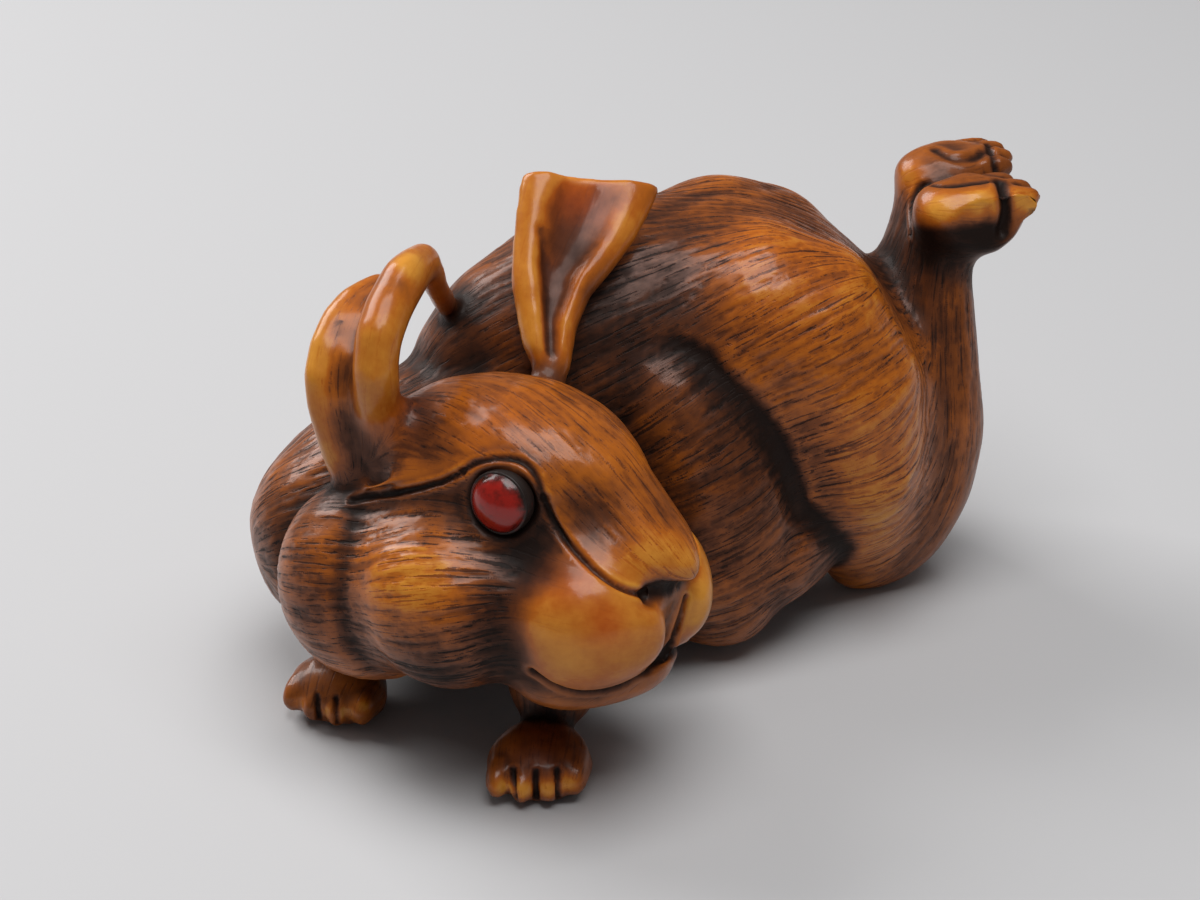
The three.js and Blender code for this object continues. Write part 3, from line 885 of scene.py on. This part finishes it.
def bend_of_hair(block, lie):
    """How the lie of the hair turns along itself, for each millimetre."""
    most = 0.5
    evening_passes = 8
    turn = np.zeros((block.count, 3))
    weight = np.zeros(block.count)
    for here, there in ((block.first, block.second), (block.second, block.first)):
        along = ((block.points[there] - block.points[here]) * lie[here]).sum(1)
        weight += np.bincount(here, along ** 2, block.count)
        change = (lie[there] - lie[here]) * along[:, None]
        for axis in range(3):
            turn[:, axis] += np.bincount(here, change[:, axis], block.count)
    bend = turn / np.maximum(weight, 1e-9)[:, None]
    bend *= np.minimum(1, most / np.maximum(np.linalg.norm(bend, axis=1), 1e-9))[:, None]
    return block.blurred(bend, evening_passes)


def engrave_hair(block, lie, bend, strokes, settings):
    """Cuts the coarser hair strokes into the block along the lie of the hair."""
    samples = 15
    step_share = 0.7
    contrast = 1.6
    ridge = 0.3
    seed = 7
    cell = settings.hair_pitch / 2
    strands = np.zeros(block.count)
    for step in range(samples):
        shift = (step - samples // 2) * step_share * cell
        strands += lattice_noise((block.points + lie * shift + bend * shift ** 2 / 2) / cell, seed)
    strands /= math.sqrt(samples)
    cut = np.clip(strands * contrast, -1, ridge)
    block.points += block.normals() * (settings.hair_depth * strokes * cut)[:, None]


def hollowness(block, passes):
    """How hollow the surface is at a scale, above 0 in hollows and below 0 on crests, in millimetres."""
    outward = block.normals()
    return ((block.blurred(block.points, passes) - block.points) * outward).sum(1)


def in_carver_frame(mesh, inward):
    """Moves a mesh from the model's frame to the carver's, or back."""
    to_model = Matrix.Scale(MM, 4) @ Matrix.Translation(CARVER_AT)
    mesh.transform(to_model.inverted() if inward else to_model)


def only(piece):
    """Leaves one object selected and active."""
    bpy.ops.object.select_all(action="DESELECT")
    piece.select_set(True)
    bpy.context.view_layer.objects.active = piece


def copy_of_node(node, name):
    """A new object with a merged copy of a solid's mesh."""
    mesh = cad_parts[node].data.copy()
    piece = bpy.data.objects.new(name, mesh)
    bpy.context.scene.collection.objects.link(piece)
    mesh.materials.clear()
    only(piece)
    bpy.ops.object.mode_set(mode="EDIT")
    bpy.ops.mesh.select_all(action="SELECT")
    bpy.ops.mesh.remove_doubles(threshold=1e-7)
    bpy.ops.object.mode_set(mode="OBJECT")
    return piece


def apply_modifier(piece, kind, **values):
    """Adds a modifier with its values and applies it."""
    only(piece)
    modifier = piece.modifiers.new(kind.title(), kind)
    for key, value in values.items():
        setattr(modifier, key, value)
    bpy.ops.object.modifier_apply(modifier=modifier.name)


def keep_values(mesh, name, values):
    """Keeps one value or vector for each point of a mesh."""
    kind = "FLOAT" if values.ndim == 1 else "FLOAT_VECTOR"
    attribute = mesh.attributes.new(name, kind, "POINT")
    key = "value" if values.ndim == 1 else "vector"
    attribute.data.foreach_set(key, values.astype(np.float32).ravel())


# How the tone is worked out: stain gathers in hollows of two sizes and wears off crests; along creases, to
# two widths, there is stain and painted shade; beside sunk forms and round the lids there is painted shade
Hollow = namedtuple("Hollow", "passes strength lightest darkest")
HOLLOWS = [Hollow(6, 4.0, -0.1, 0.18), Hollow(60, 0.8, -0.14, 0.16)]
Crease = namedtuple("Crease", "tone width")
CREASES = [Crease(0.07, 0.5), Crease(0.16, 2.6)]
CREASE_PASSES = 8
SUNK_SHADE_TONE = 0.12
SUNK_PASSES = 20
LID_SHADE_TONE = 0.5
LID_EDGE = 1.95
LID_WIDTH = 0.35
FORM_PASSES = 14
HAIR_PASSES = 6
PLAIN_RED = 0.1


def stain(block, sorting, photograph, marks):
    """Works out the tone, redness and hair at each point of the finished carving; the tone holds stain and
    wear, and painted shade and highlights.
    """
    tone = block.blurred(sorting.of_forms("tone"), FORM_PASSES)
    red = np.full(block.count, PLAIN_RED)
    for spot in SPOTS:
        middle = photograph.landing(spot.pixel)
        if middle is None:
            continue
        share = falloff(block.gap_to(middle), spot.radius)
        tone += spot.tone * share
        red += spot.red * share
    for hollow in HOLLOWS:
        depth = hollowness(block, hollow.passes) * hollow.strength
        tone -= np.clip(depth, hollow.lightest, hollow.darkest)
    # Along creases: stain in the narrow band and painted shade in the wide one, kept to the lower side where
    # one form is prouder.
    in_creases = sum(crease.tone * falloff(sorting.shaded, crease.width) for crease in CREASES)
    tone -= block.blurred(in_creases, CREASE_PASSES)
    # Painted shade beside each form that is sunk below a prouder one.
    tone -= block.blurred(SUNK_SHADE_TONE * sorting.sinking(), SUNK_PASSES)
    tone -= marks
    # Painted shade in a ring round each eye, just outside its bead.
    for middle, _ in eye_places().values():
        tone -= LID_SHADE_TONE * falloff(np.maximum(block.gap_to(middle) - LID_EDGE, 0), LID_WIDTH)
    hair = block.blurred(sorting.of_forms("strokes"), HAIR_PASSES)
    for name, values in (("tone", tone), ("red", red), ("hair", hair)):
        keep_values(block.mesh, name, np.clip(values, 0, 1))


MOTTLE = "Cloudy Mottle"


def node(tree, kind, values=None, **settings):
    """A shader node with its settings and the values of its inputs."""
    made = tree.nodes.new(kind)
    for key, value in settings.items():
        setattr(made, key, value)
    for key, value in (values or {}).items():
        made.inputs[key].default_value = value
    return made


def math_node(tree, operation, first, second):
    """A math node on two sockets or numbers, and its result."""
    made = node(tree, "ShaderNodeMath", operation=operation)
    for socket, value in zip(made.inputs, (first, second)):
        if isinstance(value, bpy.types.NodeSocket):
            tree.links.new(value, socket)
        else:
            socket.default_value = value
    return made.outputs[0]


def held(tree, name, output="Fac"):
    """A value or vector that the mesh holds for each point."""
    return node(tree, "ShaderNodeAttribute", attribute_name=name).outputs[output]


def ranged(tree, value, source, result, **settings):
    """A value taken from one range to another."""
    ends = {"From Min": source[0], "From Max": source[1], "To Min": result[0], "To Max": result[1]}
    made = node(tree, "ShaderNodeMapRange", ends, **settings)
    tree.links.new(value, made.inputs["Value"])
    return made.outputs[0]


def ramp_of(tree, value, steps):
    """A colour along a value, from steps of place and colour."""
    made = node(tree, "ShaderNodeValToRGB")
    elements = made.color_ramp.elements
    while len(elements) < len(steps):
        elements.new(0.5)
    for element, (position, colour_there) in zip(elements, steps):
        element.position = position
        element.color = colour_there
    tree.links.new(value, made.inputs["Fac"])
    return made.outputs["Color"]


def add_bump(tree, shader, height, strength, depth):
    """Roughens a shader's normal by a height, its depth in millimetres."""
    bump = node(tree, "ShaderNodeBump", {"Strength": strength, "Distance": depth * MM})
    tree.links.new(height, bump.inputs["Height"])
    tree.links.new(bump.outputs["Normal"], shader.inputs["Normal"])


def new_material(name):
    """A material, its node tree and its shader."""
    material = bpy.data.materials.new(name)
    material.use_nodes = True
    return material, material.node_tree, material.node_tree.nodes["Principled BSDF"]


def new_group(name, inputs, outputs, kind):
    """A shader node group with its entry and its result."""
    group = bpy.data.node_groups.new(name, "ShaderNodeTree")
    for socket in inputs:
        group.interface.new_socket(socket, in_out="INPUT", socket_type=kind)
    for socket in outputs:
        group.interface.new_socket(socket, in_out="OUTPUT", socket_type="NodeSocketFloat")
    return group, node(group, "NodeGroupInput"), node(group, "NodeGroupOutput")


def mottle_group():
    """Cloudy variation of a stained or natural material, around zero."""
    group, entry, result = new_group(
        MOTTLE, ("Coarse Scale", "Fine Scale"), ("Cloud", "Speckle"), "NodeSocketFloat")
    place = node(group, "ShaderNodeTexCoord")
    for scale, output, detail in (("Coarse Scale", "Cloud", 4.0), ("Fine Scale", "Speckle", 3.0)):
        noise = node(group, "ShaderNodeTexNoise", {"Detail": detail, "Roughness": 0.6})
        group.links.new(place.outputs["Object"], noise.inputs["Vector"])
        group.links.new(entry.outputs[scale], noise.inputs["Scale"])
        group.links.new(math_node(group, "SUBTRACT", noise.outputs["Fac"], 0.5), result.inputs[output])
    return group


def mottle_of(tree, coarse, fine):
    """The cloud and the speckle of a material, from the mottle group that is built once."""
    group = bpy.data.node_groups.get(MOTTLE) or mottle_group()
    placed = node(tree, "ShaderNodeGroup", node_tree=group)
    placed.inputs["Coarse Scale"].default_value = coarse
    placed.inputs["Fine Scale"].default_value = fine
    return placed.outputs["Cloud"], placed.outputs["Speckle"]


def stroke_group(name, pitch, samples):
    """Noise drawn out along the lie and the bend of the hair, around zero, its pitch in millimetres."""
    step_share = 0.42
    group, entry, result = new_group(name, ("Lie", "Bend"), ("Stroke",), "NodeSocketVector")
    place = node(group, "ShaderNodeTexCoord")
    total = 0.0
    for step in range(samples):
        shift = (step - (samples - 1) / 2) * step_share * pitch * MM
        at = place.outputs["Object"]
        for socket, share in (("Lie", shift), ("Bend", shift ** 2 / 2)):
            moved = node(group, "ShaderNodeVectorMath", operation="MULTIPLY_ADD")
            moved.inputs[1].default_value = (share, share, share)
            group.links.new(entry.outputs[socket], moved.inputs[0])
            group.links.new(at, moved.inputs[2])
            at = moved.outputs[0]
        noise = node(group, "ShaderNodeTexNoise", {"Detail": 0.0, "Scale": 2 / (pitch * MM)})
        group.links.new(at, noise.inputs["Vector"])
        total = math_node(group, "ADD", noise.outputs["Fac"], total)
    mean = math_node(group, "SUBTRACT", math_node(group, "DIVIDE", total, float(samples)), 0.5)
    group.links.new(math_node(group, "MULTIPLY", mean, math.sqrt(samples)), result.inputs["Stroke"])
    return group


def dark_lines(tree, strokes, low, high):
    """Dark lines along the hair: 1 in a line and 0 between lines."""
    drawn = node(tree, "ShaderNodeGroup", node_tree=strokes)
    for socket in ("Lie", "Bend"):
        tree.links.new(held(tree, socket.lower(), "Vector"), drawn.inputs[socket])
    return ranged(tree, drawn.outputs["Stroke"], (low, high), (0.0, 1.0), interpolation_type="SMOOTHSTEP")


# What a red stain leaves of the colour below it
REDDENING = (1.0, 0.62, 0.75, 1.0)


def stained_antler(finish):
    """Polished antler, stained dark in its cuts and rubbed golden on its crests, with shade painted into its
    creases and undersides.
    """
    patchiness = 2.0
    fine_share = 0.45
    cloud_share = 0.5
    speckle_share = 0.16
    line_share = 0.3
    pit_share = 0.35
    material, tree, shader = new_material("stained_antler")
    cloud, speckle = mottle_of(tree, coarse=230.0, fine=1500.0)
    hair = held(tree, "hair")
    dashes = dark_lines(tree, stroke_group("Long Strokes", pitch=0.32, samples=18), low=0.1, high=0.26)
    fine_lines = dark_lines(tree, stroke_group("Fine Strokes", pitch=0.17, samples=10), low=0.05, high=0.3)
    patches = math_node(tree, "ADD", cloud, 0.5)
    dashes = math_node(tree, "MULTIPLY", dashes, math_node(tree, "MULTIPLY", patches, patchiness))
    furrows = math_node(tree, "MULTIPLY", dashes, hair)
    lines = math_node(tree, "ADD", dashes, math_node(tree, "MULTIPLY", fine_lines, fine_share))
    lines = math_node(tree, "MULTIPLY", lines, hair)

    shade = math_node(tree, "ADD", held(tree, "tone"), math_node(tree, "MULTIPLY", cloud, cloud_share))
    shade = math_node(tree, "ADD", shade, math_node(tree, "MULTIPLY", speckle, speckle_share))
    shade = math_node(tree, "SUBTRACT", shade, math_node(tree, "MULTIPLY", lines, line_share))
    stained = ramp_of(tree, shade, [
        (0.0, finish.soot), (0.2, finish.umber), (0.4, finish.chestnut),
        (0.58, finish.tan), (0.76, finish.amber), (1.0, finish.straw)])
    reddened = node(tree, "ShaderNodeMix", {"Factor": 1.0}, data_type="RGBA", blend_type="MULTIPLY")
    reddened.inputs["B"].default_value = REDDENING
    tinted = node(tree, "ShaderNodeMix", data_type="RGBA", blend_type="MIX")
    tree.links.new(stained, reddened.inputs["A"])
    tree.links.new(held(tree, "red"), tinted.inputs["Factor"])
    tree.links.new(stained, tinted.inputs["A"])
    tree.links.new(reddened.outputs["Result"], tinted.inputs["B"])
    tree.links.new(tinted.outputs["Result"], shader.inputs["Base Color"])

    tree.links.new(ranged(tree, shade, source=(0.0, 0.8), result=(0.6, 0.34)), shader.inputs["Roughness"])
    tree.links.new(ranged(tree, shade, source=(0.2, 0.6), result=(0.03, 0.42)), shader.inputs["Coat Weight"])
    pits = math_node(tree, "MULTIPLY", speckle, pit_share)
    add_bump(tree, shader, math_node(tree, "SUBTRACT", pits, furrows), strength=0.4, depth=0.08)
    shader.inputs["Coat Roughness"].default_value = 0.18
    shader.inputs["Specular IOR Level"].default_value = 0.15
    return material


def red_bead(finish):
    """A polished deep red bead that darkens to black at its rim."""
    cloud_share = 1.8
    speckle_share = 1.2
    material, tree, shader = new_material("red_amber")
    cloud, speckle = mottle_of(tree, coarse=600.0, fine=2200.0)
    rim = held(tree, "rim")
    share = math_node(tree, "ADD", rim, math_node(tree, "MULTIPLY", cloud, cloud_share))
    share = math_node(tree, "ADD", share, math_node(tree, "MULTIPLY", speckle, speckle_share))
    darkened = ramp_of(tree, share, [(0.0, finish.garnet), (0.8, finish.soot)])
    tree.links.new(darkened, shader.inputs["Base Color"])
    add_bump(tree, shader, speckle, strength=0.5, depth=0.05)
    tree.links.new(ranged(tree, rim, source=(0.5, 1.0), result=(0.22, 0.6)), shader.inputs["Roughness"])
    tree.links.new(ranged(tree, rim, source=(0.5, 1.0), result=(0.35, 0.05)), shader.inputs["Coat Weight"])
    shader.inputs["Coat Roughness"].default_value = 0.08
    shader.inputs["Specular IOR Level"].default_value = 0.35
    return material


def cut_lines(photograph):
    """Every cut with its line on the carving, and the pairs of those that both sides of the head have."""
    lines = []
    for cut in CUTS:
        line = photograph.line(cut.pixels)
        lines.append((line, cut))
        if cut.both_sides:
            lines.append((photograph.opposite(line), cut))
    return lines


def strokes_of(block, sorting):
    """How strongly hair is cut at each point: less along the creases."""
    bare_share = 0.7
    bare_width = 0.4
    kept = 1 - bare_share * falloff(sorting.clear, bare_width)
    return block.blurred(sorting.of_forms("strokes") * kept, HAIR_PASSES)


def tree_of(points):
    """A search tree over points."""
    tree = KDTree(len(points))
    for index, point in enumerate(points):
        tree.insert(point, index)
    tree.balance()
    return tree


class NETSUKE_OT_carve_hare(bpy.types.Operator):
    """Carve and stain the hare from a copy of its solid"""

    bl_idname = "netsuke.carve_hare"
    bl_label = "Carve Hare"

    def execute(self, context):
        settings = context.scene.hare_carving
        carving = copy_of_node("hare_carving", "carved_hare")
        in_carver_frame(carving.data, True)
        apply_modifier(carving, "REMESH", mode="VOXEL", voxel_size=settings.grain, adaptivity=0.0)
        spines = all_spines()
        blends = blend_table(spines)
        block = Block(carving.data)
        sorting = Sorting(block.points, spines, blends)
        round_forms(block, sorting, settings.rounding)
        melt_forms(block, sorting)
        press_creases(block, sorting)
        flatten(block, sorting)
        close_sockets(block)
        block.store()
        press_dents(block, Photograph(carving, context.scene.hare_stage))
        photograph = Photograph(carving, context.scene.hare_stage)
        lie = lie_of_hair(block, sorting, photograph)
        bend = bend_of_hair(block, lie)
        lines = cut_lines(photograph)
        for line, cut in lines:
            engrave(block, line, cut)
        engrave_hair(block, lie, bend, strokes_of(block, sorting), settings)
        block.points[:, 2] = np.maximum(block.points[:, 2], -CARVER_AT.z)
        block.store()
        fine_tree = tree_of(block.points)
        fine_normals = block.normals()
        share = settings.triangles / sum(len(face.vertices) - 2 for face in carving.data.polygons)
        if share < 1:
            apply_modifier(carving, "DECIMATE", ratio=share)
        block = Block(carving.data)
        nearest = [fine_tree.find(point)[1] for point in block.points]
        sorting = Sorting(block.points, spines, blends)
        stain(block, sorting, Photograph(carving, context.scene.hare_stage), stained_cuts(block, lines))
        keep_values(block.mesh, "lie", lie[nearest])
        keep_values(block.mesh, "bend", bend[nearest] / MM)
        in_carver_frame(carving.data, False)
        carving.data.materials.append(stained_antler(context.scene.hare_finish))
        only(carving)
        bpy.ops.object.shade_smooth()
        carving.data.normals_split_custom_set_from_vertices(fine_normals[nearest])
        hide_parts("hare_carving")
        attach(carving, "root")
        return {"FINISHED"}


class NETSUKE_OT_set_eyes(bpy.types.Operator):
    """Set a polished red bead with a dark rim in each socket"""

    bl_idname = "netsuke.set_eyes"
    bl_label = "Set Eyes"

    def execute(self, context):
        material = red_bead(context.scene.hare_finish)
        radius = BEAD_SHARE * EYE_RADIUS * MM
        for side, (_, way) in eye_places().items():
            node_name = "eye_" + side
            bead = self.bead(radius, side + "_eye_bead")
            turn = way.to_track_quat("Z", "Y").to_matrix().to_4x4()
            bead.data.transform(Matrix.Translation(node_middle(node_name)) @ turn)
            bead.data.materials.clear()
            bead.data.materials.append(material)
            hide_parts(node_name)
            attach(bead, "root")
        return {"FINISHED"}

    def bead(self, radius, name):
        """A domed bead that looks along +Z, with a seat ring round it."""
        dome_share = 0.76
        ring_share = 0.93
        ring_thickness = 0.07
        ring_height = 0.22
        rim_start = 0.7
        bpy.ops.object.select_all(action="DESELECT")
        bpy.ops.mesh.primitive_uv_sphere_add(segments=64, ring_count=40, radius=radius)
        bead = bpy.context.object
        bpy.ops.object.mode_set(mode="EDIT")
        bpy.ops.mesh.select_all(action="SELECT")
        bpy.ops.transform.resize(value=(1.0, 1.0, dome_share))
        bpy.ops.object.mode_set(mode="OBJECT")
        bpy.ops.object.select_all(action="DESELECT")
        bpy.ops.mesh.primitive_torus_add(
            major_segments=64, minor_segments=16,
            major_radius=ring_share * radius, minor_radius=ring_thickness * radius,
            location=(0.0, 0.0, ring_height * radius))
        bpy.ops.object.transform_apply(location=True, rotation=True, scale=True)
        bead.select_set(True)
        bpy.context.view_layer.objects.active = bead
        bpy.ops.object.join()
        bpy.ops.object.shade_smooth()
        bead.name = name
        bead.data.name = name
        points = np.array([vertex.co for vertex in bead.data.vertices])
        outward = np.hypot(points[:, 0], points[:, 1]) / radius
        rim = np.clip((outward - rim_start) / (1 - rim_start), 0, 1)
        rim[points[:, 2] < 0] = 1.0
        keep_values(bead.data, "rim", rim)
        return bead


LIGHT_COLOUR = (1.0, 0.99, 0.98)
SKY_COLOUR = (0.95, 0.97, 1.0, 1.0)


def soft_light(name, at, target, size, power):
    """A square soft light that faces a target."""
    light = bpy.data.lights.new(name, "AREA")
    light.energy = power
    light.size = size
    light.color = LIGHT_COLOUR
    lamp = bpy.data.objects.new(name, light)
    lamp.location = at
    lamp.rotation_euler = (target - at).to_track_quat("-Z", "Y").to_euler()
    bpy.context.scene.collection.objects.link(lamp)


class NETSUKE_OT_build_stage(bpy.types.Operator):
    """Set the pale floor, the soft lights and the camera"""

    bl_idname = "netsuke.build_stage"
    bl_label = "Build Stage"

    def execute(self, context):
        stage = context.scene.hare_stage
        target = (VIEW_TARGET + CARVER_AT) * MM
        self.floor(stage)
        soft_light("window", Vector((-0.21, 0.17, 0.22)), target, 0.2, stage.window_power)
        soft_light("ceiling", Vector((0.03, -0.07, 0.36)), target, 0.26, stage.ceiling_power)
        self.camera(stage, target)
        world = bpy.data.worlds.new("studio")
        world.use_nodes = True
        background = world.node_tree.nodes["Background"]
        background.inputs["Color"].default_value = SKY_COLOUR
        background.inputs["Strength"].default_value = stage.ambient
        context.scene.world = world
        context.scene.view_settings.view_transform = "Standard"
        return {"FINISHED"}

    def floor(self, stage):
        """A wide pale floor under the soles."""
        bpy.ops.object.select_all(action="DESELECT")
        bpy.ops.mesh.primitive_plane_add(size=3.0, location=(0.0, 0.0, 0.0))
        floor = bpy.context.object
        floor.name = "floor"
        material, _, shader = new_material("pale_floor")
        shader.inputs["Base Color"].default_value = stage.floor_colour
        shader.inputs["Roughness"].default_value = 0.75
        floor.data.materials.append(material)

    def camera(self, stage, target):
        """The camera at the photograph's angle."""
        camera = bpy.data.cameras.new("camera")
        camera.lens = stage.lens
        camera.sensor_width = SENSOR_WIDTH
        camera.clip_start = 0.005
        camera.clip_end = 20.0
        holder = bpy.data.objects.new("camera", camera)
        back = towards_camera(stage)
        holder.location = target + back * stage.distance
        holder.rotation_euler = (-back).to_track_quat("-Z", "Y").to_euler()
        bpy.context.scene.collection.objects.link(holder)
        bpy.context.scene.camera = holder


class NETSUKE_PT_sidebar(bpy.types.Panel):
    """Steps and settings of the carved hare"""

    bl_idname = "NETSUKE_PT_sidebar"
    bl_label = "Netsuke"
    bl_space_type = "VIEW_3D"
    bl_region_type = "UI"
    bl_category = "Netsuke"

    def draw(self, context):
        layout = self.layout
        for operator in OPERATORS:
            layout.operator(operator.bl_idname)
        for group in (context.scene.hare_carving, context.scene.hare_finish, context.scene.hare_stage):
            box = layout.box()
            for name in group.__annotations__:
                box.prop(group, name)


OPERATORS = (NETSUKE_OT_carve_hare, NETSUKE_OT_set_eyes, NETSUKE_OT_build_stage)
CLASSES = (CarvingSettings, FinishSettings, StageSettings) + OPERATORS + (NETSUKE_PT_sidebar,)


def register():
    for made in CLASSES:
        bpy.utils.register_class(made)
    bpy.types.Scene.hare_carving = PointerProperty(type=CarvingSettings)
    bpy.types.Scene.hare_finish = PointerProperty(type=FinishSettings)
    bpy.types.Scene.hare_stage = PointerProperty(type=StageSettings)


def unregister():
    del bpy.types.Scene.hare_stage
    del bpy.types.Scene.hare_finish
    del bpy.types.Scene.hare_carving
    for made in reversed(CLASSES):
        bpy.utils.unregister_class(made)


def main():
    register()
    bpy.ops.netsuke.build_stage()
    bpy.ops.netsuke.carve_hare()
    bpy.ops.netsuke.set_eyes()


if __name__ == "__main__":
    main()
